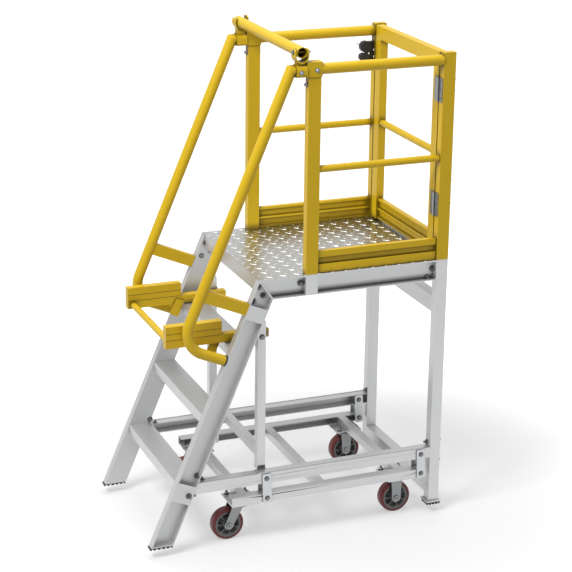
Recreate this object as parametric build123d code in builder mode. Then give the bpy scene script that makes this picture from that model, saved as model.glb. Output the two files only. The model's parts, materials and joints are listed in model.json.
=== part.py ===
from build123d import *
import math
import os

# Mobile work platform with a lever-operated caster frame. Units are mm.
# Frame: +X from the ladder foot to the rear gate, +Y to the left of a person
# climbing, +Z up. z = 0 is the floor under the wheels. Heights named *_H are
# measured from the underside of the feet, which hang FOOT_GAP above the floor.

# Driving sizes
FOOT_GAP = 40.0
RISE = 304.8
STEPS = 4
WIDTH = 766.0
DECK_L = 914.0
LADDER_RUN = 515.0
GUARD_H = 950.0
TOP_RAIL_DROP = 35.0
MID_RAIL_H = 473.0
WHEEL_D = 152.4
WHEEL_W = 50.0
PIN_PITCH = 97.0
LINK_TILT = 2.0
GUARD_SET = 217.0
POST_SET = 28.0
FRONT_LINK_SET = 39.0
REAR_LINK_SET = 101.0

# Sections
CHANNEL_H = 96.0
CHANNEL_W = 40.0
CHANNEL_T = 5.0
POST_X = 58.0
POST_Y = 38.0
POST_T = 3.0
LEG_X = 52.0
LEG_Y = 48.0
LEG_T = 3.5
RAIL_W = 50.0
RAIL_H = 50.8
RAIL_T = 3.0
CRAIL_H = 38.0
TUBE_D = 48.3
TUBE_T = 3.2
MID_D = 32.0
MID_T = 2.5
PLATE_T = 6.0
DECK_T = 3.0
PAD_T = 14.0
LADDER_PAD_T = 9.0
BASE_T = 5.0
BASE_OVER = 12.0
TOE_H = 101.6
SQ = 38.0
SQ_T = 2.5

# Clearances
SIDE_GAP = 1.2
PIN_GAP = 0.08
OPEN_PIN_GAP = 0.4
SEAT = 0.3
SWING_GAP = 6.0

# Derived places
DECK_H = RISE * STEPS
HALF_W = WIDTH / 2
TOP_RAIL_H = GUARD_H - TOP_RAIL_DROP
LENGTH = DECK_L + LADDER_RUN
REAR_X = (LENGTH - BASE_OVER) / 2
FOOT_X = REAR_X - LENGTH
FRONT_X = REAR_X - DECK_L
SLOPE = math.degrees(math.atan2(DECK_H, LADDER_RUN))
SIN = math.sin(math.radians(SLOPE))
COS = math.cos(math.radians(SLOPE))
TAN = SIN / COS
STILE_HW = CHANNEL_H / SIN
TOP_S = DECK_H / SIN
BEAM_TOP = DECK_H - DECK_T
BEAM_BOT = DECK_H - CHANNEL_H
WEB_Y = HALF_W - CHANNEL_W
SIDES = (("right", -1), ("left", 1))


def up(h):
    """Height above the feet as a z coordinate."""
    return FOOT_GAP + h


def stile_x(h):
    """Front edge of the stile at a height above the feet."""
    return FOOT_X + h / TAN


def along(s, n):
    """Point s up the stile's front edge and n out from it, as x and z."""
    return (FOOT_X + s * COS - n * SIN, up(s * SIN + n * COS))


def side_plane(y):
    """Sketch plane with x along +X and y along +Z; extrusion goes to -Y."""
    return Plane(origin=(0, y, 0), x_dir=(1, 0, 0), z_dir=(0, -1, 0))


os.makedirs("parts", exist_ok=True)


def save(piece, label):
    piece.label = label
    export_step(piece, "parts/" + label + ".step")


# Ladder stiles: outward-opening channels with a mitred top
STILE_BOT = LADDER_PAD_T
INSERT_T = 4.0
INSERTS = ((250.0, 340.0), (TOP_S - 185.0, TOP_S - 117.0))
MITRE_T = 4.0
mitre_x = stile_x(BEAM_BOT) + STILE_HW - stile_x(BEAM_TOP)
mitre_l = math.hypot(mitre_x, BEAM_TOP - BEAM_BOT)
mitre_down = MITRE_T * mitre_l / (COS * (BEAM_TOP - BEAM_BOT) + SIN * mitre_x)
mitre_back = MITRE_T * mitre_l / (BEAM_TOP - BEAM_BOT)
for side, sg in SIDES:
    inner_y = WEB_Y * sg
    with BuildPart() as stile:
        with BuildSketch(side_plane(max(inner_y, HALF_W * sg))):
            with BuildLine():
                Polyline(
                    (stile_x(STILE_BOT), up(STILE_BOT)),
                    (stile_x(STILE_BOT) + STILE_HW, up(STILE_BOT)),
                    (stile_x(BEAM_BOT) + STILE_HW, up(BEAM_BOT)),
                    (stile_x(BEAM_TOP), up(BEAM_TOP)),
                    close=True,
                )
            make_face()
        extrude(amount=CHANNEL_W)
        depth = CHANNEL_W - CHANNEL_T
        hw = CHANNEL_T / SIN
        pocket_y = HALF_W * sg if sg > 0 else inner_y - CHANNEL_T
        with BuildSketch(side_plane(pocket_y)):
            with BuildLine():
                Polyline(
                    (stile_x(-50) + hw, up(-50)),
                    (stile_x(-50) + STILE_HW - hw, up(-50)),
                    (stile_x(DECK_H) + STILE_HW - hw, up(DECK_H)),
                    (stile_x(DECK_H) + hw, up(DECK_H)),
                    close=True,
                )
            make_face()
        extrude(amount=depth, mode=Mode.SUBTRACT)
        with BuildSketch(side_plane(HALF_W if sg > 0 else -HALF_W + INSERT_T)):
            for low, high in INSERTS:
                with BuildLine():
                    Polyline(
                        along(low, -CHANNEL_T / 2),
                        along(high, -CHANNEL_T / 2),
                        along(high, CHANNEL_T / 2 - CHANNEL_H),
                        along(low, CHANNEL_T / 2 - CHANNEL_H),
                        close=True,
                    )
                make_face()
        extrude(amount=INSERT_T)
        with BuildSketch(side_plane(max(inner_y, HALF_W * sg))):
            with BuildLine():
                Polyline(
                    (stile_x(BEAM_TOP), up(BEAM_TOP)),
                    (stile_x(BEAM_BOT) + STILE_HW, up(BEAM_BOT)),
                    (stile_x(BEAM_BOT) + STILE_HW - mitre_down * COS, up(BEAM_BOT) - mitre_down * SIN),
                    (stile_x(BEAM_TOP) - mitre_down * COS, up(BEAM_TOP) - mitre_down * SIN),
                    close=True,
                )
            make_face()
            with BuildLine():
                Polyline(
                    (stile_x(STILE_BOT), up(STILE_BOT)),
                    (stile_x(STILE_BOT) + STILE_HW, up(STILE_BOT)),
                    (stile_x(STILE_BOT + BASE_T) + STILE_HW, up(STILE_BOT + BASE_T)),
                    (stile_x(STILE_BOT + BASE_T), up(STILE_BOT + BASE_T)),
                    close=True,
                )
            make_face()
        extrude(amount=CHANNEL_W)
    save(stile.part, "stile_" + side)

    with BuildPart() as foot:
        pad_x = FOOT_X + STILE_HW / 2
        with BuildSketch(Plane.XY.offset(up(0))):
            with Locations((pad_x, (WEB_Y + CHANNEL_W / 2) * sg)):
                Rectangle(STILE_HW, CHANNEL_W)
        extrude(amount=LADDER_PAD_T)
        with BuildSketch(Plane.XY.offset(up(0))):
            with Locations((pad_x, (WEB_Y + CHANNEL_W / 2) * sg)):
                with GridLocations(STILE_HW / 5, 1, 5, 1):
                    Rectangle(8, CHANNEL_W)
        extrude(amount=6, mode=Mode.SUBTRACT)
    save(foot.part, "ladder_foot_" + side)

# Treads: folded pans with a front and a rear lip
TREAD_D = STILE_HW
TREAD_LIP = 50.0
TREAD_T = 3.0
for number in range(1, STEPS):
    top = RISE * number
    front = stile_x(top)
    with BuildPart() as tread:
        with BuildSketch(side_plane(WEB_Y)):
            with Locations((front + TREAD_D / 2, up(top - TREAD_LIP / 2))):
                Rectangle(TREAD_D, TREAD_LIP)
            with Locations((front + TREAD_D / 2, up(top - TREAD_T - TREAD_LIP / 2))):
                Rectangle(TREAD_D - 2 * TREAD_T, TREAD_LIP, mode=Mode.SUBTRACT)
        extrude(amount=2 * WEB_Y)
    save(tread.part, "tread_%d" % number)

# Deck frame: outward-opening side beams with post sockets, nosing and joists
SOCKETS = (DECK_L - GUARD_SET, POST_X)
NOSE_H = 64.0
JOISTS = (DECK_L / 3, DECK_L * 2 / 3)
with BuildPart() as deck_frame:
    for side, sg in SIDES:
        top_y = HALF_W if sg > 0 else -WEB_Y
        with BuildSketch(side_plane(top_y)):
            with BuildLine():
                Polyline(
                    (stile_x(BEAM_BOT) + STILE_HW, up(BEAM_BOT)),
                    (REAR_X, up(BEAM_BOT)),
                    (REAR_X, up(BEAM_TOP)),
                    (stile_x(BEAM_TOP), up(BEAM_TOP)),
                    close=True,
                )
            make_face()
        extrude(amount=CHANNEL_W)
        pocket_y = HALF_W if sg > 0 else -WEB_Y - CHANNEL_T
        with BuildSketch(side_plane(pocket_y)):
            with Locations(((FRONT_X + REAR_X) / 2, up((BEAM_BOT + BEAM_TOP) / 2))):
                Rectangle(DECK_L * 1.2, CHANNEL_H - DECK_T - 2 * CHANNEL_T)
        extrude(amount=CHANNEL_W - CHANNEL_T, mode=Mode.SUBTRACT)
        with BuildSketch(side_plane(top_y)):
            with BuildLine():
                Polyline(
                    (stile_x(BEAM_TOP), up(BEAM_TOP)),
                    (stile_x(BEAM_BOT) + STILE_HW, up(BEAM_BOT)),
                    (stile_x(BEAM_BOT) + STILE_HW + mitre_back, up(BEAM_BOT)),
                    (stile_x(BEAM_TOP) + mitre_back, up(BEAM_TOP)),
                    close=True,
                )
            make_face()
        extrude(amount=CHANNEL_W)
        for back in SOCKETS:
            with BuildSketch(Plane.XY.offset(up(BEAM_BOT))):
                with Locations((REAR_X - back + POST_X / 2, (WEB_Y + CHANNEL_W / 2) * sg)):
                    Rectangle(POST_X, CHANNEL_W)
                    Rectangle(POST_X - 8, CHANNEL_W - 8, mode=Mode.SUBTRACT)
            extrude(amount=CHANNEL_H - DECK_T)
    with BuildSketch(side_plane(WEB_Y)):
        with Locations((FRONT_X + 20, up(BEAM_TOP - NOSE_H / 2))):
            Rectangle(40, NOSE_H)
            Rectangle(34, NOSE_H - 6, mode=Mode.SUBTRACT)
        for back in JOISTS:
            with Locations((REAR_X - back, up(BEAM_TOP - 25))):
                Rectangle(40, 50)
                Rectangle(34, 44, mode=Mode.SUBTRACT)
        with Locations((REAR_X - 25, up(BEAM_TOP - 25))):
            Rectangle(50, 50)
            Rectangle(44, 44, mode=Mode.SUBTRACT)
    extrude(amount=2 * WEB_Y)
save(deck_frame.part, "deck_frame")

with BuildPart() as deck_plate:
    with BuildSketch(Plane.XY.offset(up(BEAM_TOP))):
        with Locations((FRONT_X + DECK_L / 2, 0)):
            Rectangle(DECK_L, WIDTH)
    extrude(amount=DECK_T)
save(deck_plate.part, "deck_plate")

# Rear frame: two legs, an upper and a lower cross member and base plates
LEG_MID_X = REAR_X - LEG_X / 2
LEG_MID_Y = HALF_W - LEG_Y / 2
CROSS = (("upper", DECK_H - 262.0, 80.0), ("lower", 52.0, 64.0))
with BuildPart() as rear_frame:
    for side, sg in SIDES:
        with BuildSketch(Plane.XY.offset(up(PAD_T + BASE_T))):
            with Locations((LEG_MID_X, LEG_MID_Y * sg)):
                Rectangle(LEG_X, LEG_Y)
                Rectangle(LEG_X - 2 * LEG_T, LEG_Y - 2 * LEG_T, mode=Mode.SUBTRACT)
        extrude(amount=BEAM_BOT - PAD_T - BASE_T)
        with BuildSketch(Plane.XY.offset(up(PAD_T))):
            with Locations((LEG_MID_X, LEG_MID_Y * sg)):
                Rectangle(LEG_X + 2 * BASE_OVER, LEG_Y + 2 * BASE_OVER)
        extrude(amount=BASE_T)
    for name, low, tall in CROSS:
        with BuildSketch(side_plane(HALF_W - LEG_Y)):
            with Locations((LEG_MID_X, up(low + tall / 2))):
                Rectangle(LEG_X, tall)
                Rectangle(LEG_X - 2 * LEG_T, tall - 2 * LEG_T, mode=Mode.SUBTRACT)
        extrude(amount=2 * (HALF_W - LEG_Y))
save(rear_frame.part, "rear_frame")

for side, sg in SIDES:
    with BuildPart() as pad:
        with BuildSketch(Plane.XY.offset(up(0))):
            with Locations((LEG_MID_X, LEG_MID_Y * sg)):
                Rectangle(LEG_X + 14, LEG_Y + 14)
        extrude(amount=PAD_T)
        with BuildSketch(Plane.XY.offset(up(0))):
            with Locations((LEG_MID_X, LEG_MID_Y * sg)):
                with GridLocations((LEG_X + 14) / 4, 1, 4, 1):
                    Rectangle(7, LEG_Y + 20)
        extrude(amount=6, mode=Mode.SUBTRACT)
    save(pad.part, "rear_foot_" + side)

# Side rails: inward-opening channels with slanted front ends and pin bushes
RAIL_BOT_H = 244.0
RAIL_TOP_H = RAIL_BOT_H + RAIL_H
UP_PIN_H = RAIL_BOT_H + RAIL_H / 2
PIN_D = 16.0
PIN_XS = (FRONT_X + FRONT_LINK_SET, REAR_X - REAR_LINK_SET)
for side, sg in SIDES:
    top_y = HALF_W if sg > 0 else -HALF_W + RAIL_W
    with BuildPart() as side_rail:
        with BuildSketch(side_plane(top_y)):
            with BuildLine():
                Polyline(
                    (stile_x(RAIL_BOT_H) + STILE_HW, up(RAIL_BOT_H)),
                    (REAR_X - LEG_X, up(RAIL_BOT_H)),
                    (REAR_X - LEG_X, up(RAIL_TOP_H)),
                    (stile_x(RAIL_TOP_H) + STILE_HW, up(RAIL_TOP_H)),
                    close=True,
                )
            make_face()
        extrude(amount=RAIL_W)
        pocket_y = HALF_W - RAIL_T if sg > 0 else -HALF_W + RAIL_W
        with BuildSketch(side_plane(pocket_y)):
            with Locations(((FOOT_X + REAR_X) / 2, up(RAIL_BOT_H + RAIL_H / 2))):
                Rectangle(LENGTH * 1.2, RAIL_H - 2 * RAIL_T)
        extrude(amount=RAIL_W - RAIL_T, mode=Mode.SUBTRACT)
        with BuildSketch(side_plane(top_y)):
            for pin_x in PIN_XS:
                with Locations((pin_x, up(UP_PIN_H))):
                    Circle(PIN_D / 2 + 4)
        extrude(amount=RAIL_W)
        with BuildSketch(side_plane(top_y)):
            for pin_x in PIN_XS:
                with Locations((pin_x, up(UP_PIN_H))):
                    Circle(PIN_D / 2 + PIN_GAP)
        extrude(amount=RAIL_W, mode=Mode.SUBTRACT)
        with BuildSketch(Plane.XY.offset(up(RAIL_BOT_H - 1))):
            notch_x = stile_x(RISE) + STILE_HW
            with Locations(((FOOT_X + notch_x) / 2, (HALF_W - RAIL_W + WEB_Y) / 2 * sg)):
                Rectangle(notch_x - FOOT_X, WEB_Y - (HALF_W - RAIL_W))
        extrude(amount=RAIL_H + 2, mode=Mode.SUBTRACT)
    save(side_rail.part, "side_rail_" + side)

# Front post frame: vertical posts from the side rails to the stiles, with a bar
FPOST_X = FRONT_X + POST_SET
FPOST_FOOT_T = 4.0
FPOST_BOT = RAIL_TOP_H + FPOST_FOOT_T
FPOST_TOP = DECK_H - 190.0
FPOST_BAR_H = 378.0
FPOST_MID_Y = WEB_Y - SQ / 2
ARM_H = 38.0
LEVER_PIN_H = (STEPS - 1) * RISE + SWING_GAP + ARM_H / 2
LEVER_PIN_D = 12.0
with BuildPart() as post_frame:
    for side, sg in SIDES:
        with BuildSketch(Plane.XY.offset(up(RAIL_TOP_H))):
            with Locations((FPOST_X, (HALF_W - RAIL_W / 2) * sg)):
                Rectangle(SQ + 16, RAIL_W)
        extrude(amount=FPOST_FOOT_T)
        with BuildSketch(Plane.XY.offset(up(FPOST_BOT))):
            with Locations((FPOST_X, FPOST_MID_Y * sg)):
                Rectangle(SQ, SQ)
                Rectangle(SQ - 2 * SQ_T, SQ - 2 * SQ_T, mode=Mode.SUBTRACT)
        extrude(amount=FPOST_TOP - FPOST_BOT)
    with BuildSketch(side_plane(WEB_Y - SQ)):
        with Locations((FPOST_X, up(FPOST_BAR_H))):
            Rectangle(SQ, SQ)
            Rectangle(SQ - 2 * SQ_T, SQ - 2 * SQ_T, mode=Mode.SUBTRACT)
    extrude(amount=2 * (WEB_Y - SQ))
    with BuildSketch(side_plane(WEB_Y + 1)):
        with Locations((FPOST_X, up(LEVER_PIN_H))):
            Circle(LEVER_PIN_D / 2 + PIN_GAP)
        with BuildLine():
            Polyline(
                (FPOST_X + SQ / 2 - 10, up(FPOST_TOP + 1)),
                (FPOST_X + SQ / 2 + 1, up(FPOST_TOP + 1)),
                (FPOST_X + SQ / 2 + 1, up(FPOST_TOP - 21)),
                close=True,
            )
        make_face()
    extrude(amount=2 * WEB_Y + 2, mode=Mode.SUBTRACT)
save(post_frame.part, "front_post_frame")

# Guard rails: two posts, top and mid rail and the front cap on each side
FRONT_BACK = SOCKETS[0]
POST_MID_Y = HALF_W - POST_Y / 2
CAP_H = 65.0
CAP_FRONT = FRONT_BACK + 9
CAP_BACK = FRONT_BACK - 61
for side, sg in SIDES:
    with BuildPart() as guard:
        with BuildSketch(Plane.XY.offset(up(DECK_H))):
            for back in SOCKETS:
                with Locations((REAR_X - back + POST_X / 2, POST_MID_Y * sg)):
                    Rectangle(POST_X, POST_Y)
                    Rectangle(POST_X - 2 * POST_T, POST_Y - 2 * POST_T, mode=Mode.SUBTRACT)
        extrude(amount=GUARD_H - POST_T)
        with BuildSketch(Plane.XY.offset(up(DECK_H + GUARD_H - POST_T))):
            for back in SOCKETS:
                with Locations((REAR_X - back + POST_X / 2, POST_MID_Y * sg)):
                    Rectangle(POST_X, POST_Y)
        extrude(amount=POST_T)
        with BuildSketch(Plane.XY.offset(up(DECK_H + GUARD_H - CAP_H))):
            with Locations((REAR_X - (CAP_FRONT + CAP_BACK) / 2, POST_MID_Y * sg)):
                Rectangle(CAP_FRONT - CAP_BACK, POST_Y + 8)
            with Locations((REAR_X - FRONT_BACK + POST_X / 2, POST_MID_Y * sg)):
                Rectangle(POST_X - 2 * POST_T, POST_Y - 2 * POST_T, mode=Mode.SUBTRACT)
        extrude(amount=CAP_H)
        for high, dia, wall in ((TOP_RAIL_H, TUBE_D, TUBE_T), (MID_RAIL_H, MID_D, MID_T)):
            start = Plane(
                origin=(REAR_X - FRONT_BACK + POST_X - POST_T / 2, POST_MID_Y * sg, up(DECK_H + high)),
                z_dir=(1, 0, 0),
            )
            with BuildSketch(start):
                Circle(dia / 2)
                Circle(dia / 2 - wall, mode=Mode.SUBTRACT)
            extrude(amount=FRONT_BACK - 2 * POST_X + POST_T)
    save(guard.part, "guard_rail_" + side)

    with BuildPart() as toe:
        toe_at = (REAR_X - FRONT_BACK + POST_X, POST_MID_Y * sg, up(DECK_H))
        with BuildSketch(Plane(origin=toe_at, x_dir=(0, 1, 0), z_dir=(1, 0, 0))):
            with Locations((0, TOE_H / 2)):
                Rectangle(24, TOE_H)
            with Locations((8 * sg, TOE_H / 2)):
                Rectangle(10, TOE_H - 58, mode=Mode.SUBTRACT)
            with Locations((-8 * sg, TOE_H / 2 - 22), (-8 * sg, TOE_H / 2 + 22)):
                Rectangle(10, 34, mode=Mode.SUBTRACT)
        extrude(amount=FRONT_BACK - 2 * POST_X)
    save(toe.part, "toe_board_" + side)

# Handrails: sloping tubes with a mitred top stub and a stub to the stile
HAND_CORNER_SET = 76.0
HAND_END_DROP = 392.5
HAND_END_S = TOP_S - HAND_END_DROP
HAND_R = 110.0
HAND_STUB_S = TOP_S - 141.5
HAND_STUB = 54.0
HAND_TOP_H = DECK_H + TOP_RAIL_H
TEE_X = REAR_X - FRONT_BACK - 34
TEE_L = 50.0
corner_x = REAR_X - FRONT_BACK - HAND_CORNER_SET
HAND_N = SIN * (stile_x(HAND_TOP_H) - corner_x)
hand_top_s = (HAND_TOP_H - HAND_N * COS) / SIN
corner = along(hand_top_s, HAND_N)
for side, sg in SIDES:
    y = POST_MID_Y * sg
    low_end = along(HAND_END_S, 0.5)
    low_bend = along(HAND_END_S, HAND_N - HAND_R)
    low_line = along(HAND_END_S + HAND_R, HAND_N)
    mid = along(HAND_END_S + HAND_R * (1 - math.sqrt(0.5)), HAND_N - HAND_R * (1 - math.sqrt(0.5)))
    with BuildPart() as handrail:
        with BuildLine(Plane.XY):
            first = Line((low_end[0], y, low_end[1]), (low_bend[0], y, low_bend[1]))
            ThreePointArc(first @ 1, (mid[0], y, mid[1]), (low_line[0], y, low_line[1]))
            Line((low_line[0], y, low_line[1]), (corner[0], y, corner[1]))
            Line((corner[0], y, corner[1]), (REAR_X - CAP_FRONT - SEAT, y, corner[1]))
        with BuildSketch(Plane(origin=first @ 0, z_dir=first % 0)):
            Circle(TUBE_D / 2)
            Circle(TUBE_D / 2 - TUBE_T, mode=Mode.SUBTRACT)
        sweep(transition=Transition.RIGHT)
    near = along(HAND_STUB_S, 0)
    with BuildPart() as stub:
        face = Plane(origin=(near[0], y, near[1]), x_dir=(0, 1, 0), z_dir=(-SIN, 0, COS))
        with BuildSketch(face):
            Rectangle(POST_Y, HAND_STUB)
            Rectangle(POST_Y - 2 * POST_T, HAND_STUB - 2 * POST_T, mode=Mode.SUBTRACT)
        extrude(amount=HAND_N)
        cut_a = along(HAND_STUB_S - 100, HAND_N)
        with BuildSketch(Plane(origin=(cut_a[0], y, cut_a[1]), z_dir=(COS, 0, SIN))):
            Circle(TUBE_D / 2)
        extrude(amount=200, mode=Mode.SUBTRACT)
    arm = stub.part.solids().sort_by(SortBy.VOLUME)[-1]
    save(handrail.part + arm, "handrail_" + side)

# Tee sleeves round the handrail stubs with upright saddles for the entry bar
BAR_H = HAND_TOP_H + 78
BAR_PIN_D = 12.0
EAR_T = 6.0
EAR_GAP = 2.0
SADDLE_IN = TUBE_D + 2 * EAR_GAP
SADDLE_Y = 48.0
SLEEVE_D = TUBE_D + 9
NECK_Y = 30.0
EAR_R = 14.0
EAR_LOW = 14.0
EAR_HIGH = 30.0
BAR_SWING = SADDLE_Y / 2 + 17
for side, sg in SIDES:
    y = POST_MID_Y * sg
    seat = BAR_H - TUBE_D / 2 - SEAT if sg > 0 else BAR_H - BAR_SWING
    bend_h = seat + SADDLE_IN / 2
    with BuildPart() as saddle:
        with BuildSketch(Plane.XY.offset(up(HAND_TOP_H))):
            with Locations((TEE_X, y)):
                Rectangle(TEE_L - 10, NECK_Y)
        extrude(amount=seat + EAR_T - HAND_TOP_H)
        with BuildSketch(side_plane(y + SADDLE_Y / 2)):
            with Locations((TEE_X, up(bend_h))):
                Circle(SADDLE_IN / 2 + EAR_T)
        extrude(amount=SADDLE_Y)
        for toward in (-1, 1):
            ear_h = BAR_H + (EAR_LOW if toward * sg < 0 or sg < 0 else EAR_HIGH) - bend_h
            ear_x = TEE_X + toward * (SADDLE_IN + EAR_T) / 2
            ear_foot = (ear_x - EAR_T / 2, y, up(bend_h))
            with BuildSketch(Plane(origin=ear_foot, x_dir=(0, 1, 0), z_dir=(1, 0, 0))):
                with Locations((0, ear_h / 2)):
                    Rectangle(SADDLE_Y, ear_h)
                fillet(vertices().group_by(Axis.Y)[-1], min(EAR_R, 0.9 * ear_h))
            extrude(amount=EAR_T)
        with BuildSketch(side_plane(y + SADDLE_Y / 2)):
            with Locations((TEE_X, up(bend_h))):
                Circle(SADDLE_IN / 2)
            with Locations((TEE_X, up(bend_h) + SADDLE_IN)):
                Rectangle(SADDLE_IN, 2 * SADDLE_IN)
        extrude(amount=SADDLE_Y, mode=Mode.SUBTRACT)
        sleeve = Plane(origin=(TEE_X - TEE_L / 2, y, up(HAND_TOP_H)), x_dir=(0, 1, 0), z_dir=(1, 0, 0))
        with BuildSketch(sleeve):
            Circle(SLEEVE_D / 2)
            with Locations((0, -SLEEVE_D / 4)):
                Rectangle(SLEEVE_D, SLEEVE_D / 2)
        extrude(amount=TEE_L)
        chamfer(saddle.edges().filter_by(Axis.X).sort_by(Axis.Z)[:2], 9)
        with BuildSketch(sleeve):
            Circle(TUBE_D / 2 + 0.1)
        extrude(amount=TEE_L, mode=Mode.SUBTRACT)
        if sg < 0:
            pin = Plane(origin=(TEE_X - SADDLE_IN / 2 - 1, y, up(BAR_H)), z_dir=(1, 0, 0))
            with BuildSketch(pin):
                Circle(BAR_PIN_D / 2)
            extrude(amount=SADDLE_IN + 2)
    save(saddle.part, "bar_saddle_" + side)

BAR_OVER = 24.0
with BuildPart() as entry_bar:
    bar_at = Plane(origin=(TEE_X, -POST_MID_Y - BAR_OVER, up(BAR_H)), z_dir=(0, 1, 0))
    with BuildSketch(bar_at):
        Circle(TUBE_D / 2)
        Circle(TUBE_D / 2 - TUBE_T, mode=Mode.SUBTRACT)
    extrude(amount=2 * (POST_MID_Y + BAR_OVER))
    pin = Plane(origin=(TEE_X - TUBE_D, -POST_MID_Y, up(BAR_H)), z_dir=(1, 0, 0))
    with BuildSketch(pin):
        Circle(BAR_PIN_D / 2 + PIN_GAP)
    extrude(amount=2 * TUBE_D, mode=Mode.SUBTRACT)
save(entry_bar.part, "entry_bar")

# Gate: two stiles, a top rail, a round mid rail, a toe board and butt hinges
GATE_STILE = 55.0
GATE_T = SQ
GATE_EDGE = HALF_W - POST_Y - 9.0
GATE_FACE_X = REAR_X - POST_X
GATE_MID_X = GATE_FACE_X + GATE_T / 2
GATE_TOP_H = DECK_H + GUARD_H - 4
GATE_BOT_H = DECK_H + 10
GATE_TOP_RAIL = 63.0
GATE_MID_H = DECK_H + MID_RAIL_H + 12
with BuildPart() as gate:
    with BuildSketch(Plane.XY.offset(up(GATE_BOT_H))):
        for sg in (-1, 1):
            with Locations((GATE_MID_X, (GATE_EDGE - GATE_STILE / 2) * sg)):
                Rectangle(GATE_T, GATE_STILE)
                Rectangle(GATE_T - 2 * POST_T, GATE_STILE - 2 * POST_T, mode=Mode.SUBTRACT)
    extrude(amount=GATE_TOP_H - GATE_BOT_H - POST_T)
    with BuildSketch(Plane.XY.offset(up(GATE_TOP_H - POST_T))):
        for sg in (-1, 1):
            with Locations((GATE_MID_X, (GATE_EDGE - GATE_STILE / 2) * sg)):
                Rectangle(GATE_T, GATE_STILE)
    extrude(amount=POST_T)
    inner = GATE_EDGE - GATE_STILE + POST_T / 2
    with BuildSketch(side_plane(inner)):
        with Locations((GATE_MID_X, up(GATE_TOP_H - GATE_TOP_RAIL / 2))):
            Rectangle(GATE_T, GATE_TOP_RAIL)
            Rectangle(GATE_T - 2 * POST_T, GATE_TOP_RAIL - 2 * POST_T, mode=Mode.SUBTRACT)
        with Locations((GATE_MID_X, up(GATE_MID_H))):
            Circle(MID_D / 2)
            Circle(MID_D / 2 - MID_T, mode=Mode.SUBTRACT)
    extrude(amount=2 * inner)
save(gate.part, "gate_frame")

with BuildPart() as gate_toe:
    reach = GATE_EDGE - GATE_STILE
    with BuildSketch(side_plane(reach)):
        with Locations((GATE_MID_X, up(GATE_BOT_H + TOE_H / 2))):
            Rectangle(24, TOE_H)
        with Locations((GATE_MID_X + 8, up(GATE_BOT_H + TOE_H / 2))):
            Rectangle(10, TOE_H - 58, mode=Mode.SUBTRACT)
        for step in (-22, 22):
            with Locations((GATE_MID_X - 8, up(GATE_BOT_H + TOE_H / 2 + step))):
                Rectangle(10, 34, mode=Mode.SUBTRACT)
    extrude(amount=2 * reach)
save(gate_toe.part, "gate_toe_board")

HINGE_L = 107.0
HINGE_LEAF = 38.0
HINGE_HS = (("lower", DECK_H + 203.0), ("upper", DECK_H + TOP_RAIL_H - 189.0))
LEAF_T = 3.0
KNUCKLE_D = 12.0
HINGE_PIN_D = 6.0
HINGE_X = GATE_FACE_X - KNUCKLE_D / 2 - 1
HINGE_Y = -(HALF_W - POST_Y - 4.5)
LEAF_CLEAR = KNUCKLE_D / 2 + 1
third = HINGE_L / 3
for name, low in HINGE_HS:
    with BuildPart() as post_leaf:
        leaf_y = HINGE_Y - (HINGE_LEAF + LEAF_CLEAR) / 2
        with BuildSketch(Plane.XY.offset(up(low))):
            with Locations((GATE_FACE_X - LEAF_T / 2, leaf_y)):
                Rectangle(LEAF_T, HINGE_LEAF - LEAF_CLEAR)
        extrude(amount=HINGE_L)
        for start in (low, low + 2 * third):
            with BuildSketch(Plane.XY.offset(up(start))):
                with Locations((GATE_FACE_X - LEAF_T / 2 - 1, HINGE_Y - LEAF_CLEAR / 2)):
                    Rectangle(LEAF_T - 1, LEAF_CLEAR + 4)
                with Locations((HINGE_X, HINGE_Y)):
                    Circle(KNUCKLE_D / 2)
            extrude(amount=third)
        with BuildSketch(Plane.XY.offset(up(low))):
            with Locations((HINGE_X, HINGE_Y)):
                Circle(HINGE_PIN_D / 2)
        extrude(amount=HINGE_L)
    save(post_leaf.part, "hinge_post_leaf_" + name)
    with BuildPart() as gate_leaf:
        with BuildSketch(Plane.XY.offset(up(low))):
            with Locations((GATE_FACE_X - LEAF_T / 2, HINGE_Y + (HINGE_LEAF + LEAF_CLEAR) / 2)):
                Rectangle(LEAF_T, HINGE_LEAF - LEAF_CLEAR)
        extrude(amount=HINGE_L)
        with BuildSketch(Plane.XY.offset(up(low + third + SEAT))):
            with Locations((GATE_FACE_X - LEAF_T / 2 - 1, HINGE_Y + LEAF_CLEAR / 2)):
                Rectangle(LEAF_T - 1, LEAF_CLEAR + 4)
            with Locations((HINGE_X, HINGE_Y)):
                Circle(KNUCKLE_D / 2)
        extrude(amount=third - 2 * SEAT)
        with BuildSketch(Plane.XY.offset(up(low))):
            with Locations((HINGE_X, HINGE_Y)):
                Circle(HINGE_PIN_D / 2 + PIN_GAP)
        extrude(amount=HINGE_L, mode=Mode.SUBTRACT)
    save(gate_leaf.part, "hinge_gate_leaf_" + name)

LATCH_H = DECK_H + TOP_RAIL_H - 135.0
LATCH_T = 24.0
LATCH_BODY = (42.0, 92.0)
LATCH_JAW = (-44.0, 60.0, 27.0)
LATCH_TAIL = (-54.0, 11.0, 19.0)
with BuildPart() as latch:
    with BuildSketch(side_plane(HALF_W - 8)):
        with Locations((GATE_FACE_X - LATCH_BODY[0] / 2, up(LATCH_H - 8 + LATCH_BODY[1] / 2))):
            Rectangle(*LATCH_BODY)
        fillet(vertices().group_by(Axis.X)[0], 8)
        for x, h, radius in (LATCH_JAW, LATCH_TAIL):
            with Locations((GATE_FACE_X + x, up(LATCH_H + h))):
                Circle(radius)
    extrude(amount=LATCH_T)
save(latch.part, "gate_latch")

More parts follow.
